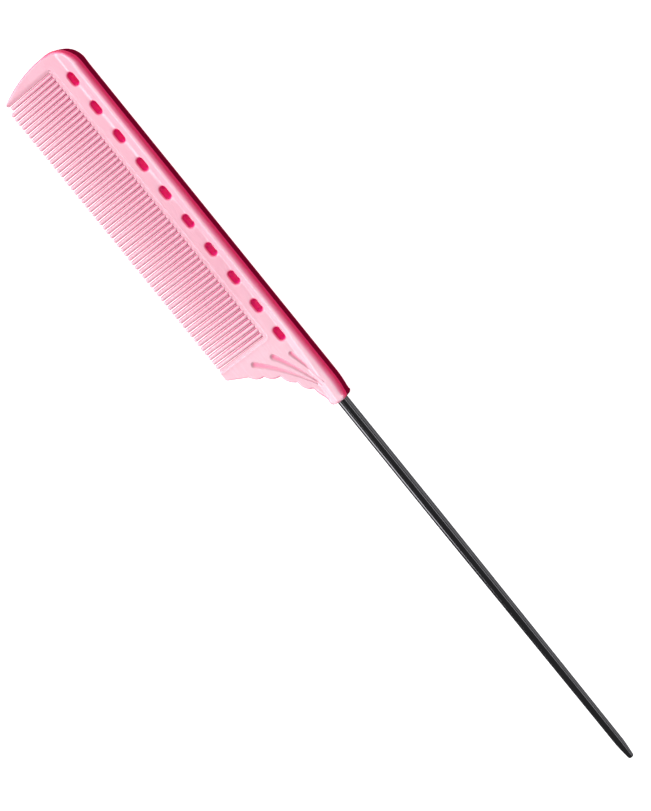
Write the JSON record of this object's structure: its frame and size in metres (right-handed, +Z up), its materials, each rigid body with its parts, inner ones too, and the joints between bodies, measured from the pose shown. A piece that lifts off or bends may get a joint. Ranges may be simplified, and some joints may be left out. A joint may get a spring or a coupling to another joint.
{
  "type": "rat tail comb",
  "caption": "Fine-toothed parting comb, moulded in one piece with oval holes along its spine and a long tapered steel pin as its tail.",
  "frame": {"origin": "centre of the underside of the whole comb's box, on the surface it lies on", "axes": "+X along the comb from the head to the pin's tip, +Y from the teeth towards the straight back edge, +Z up through the thickness"},
  "size_m": [0.225, 0.0254, 0.005],
  "materials": {
    "comb_plastic": "moulded satin gloss, slightly translucent",
    "pin_steel": "polished"
  },
  "bodies": {
    "root": {"spine": "comb_plastic", "fine_teeth": "comb_plastic", "head_guard": "comb_plastic", "heel_guard": "comb_plastic", "tail_socket": "comb_plastic", "tail_pin": "pin_steel"}
  },
  "joints": []
}
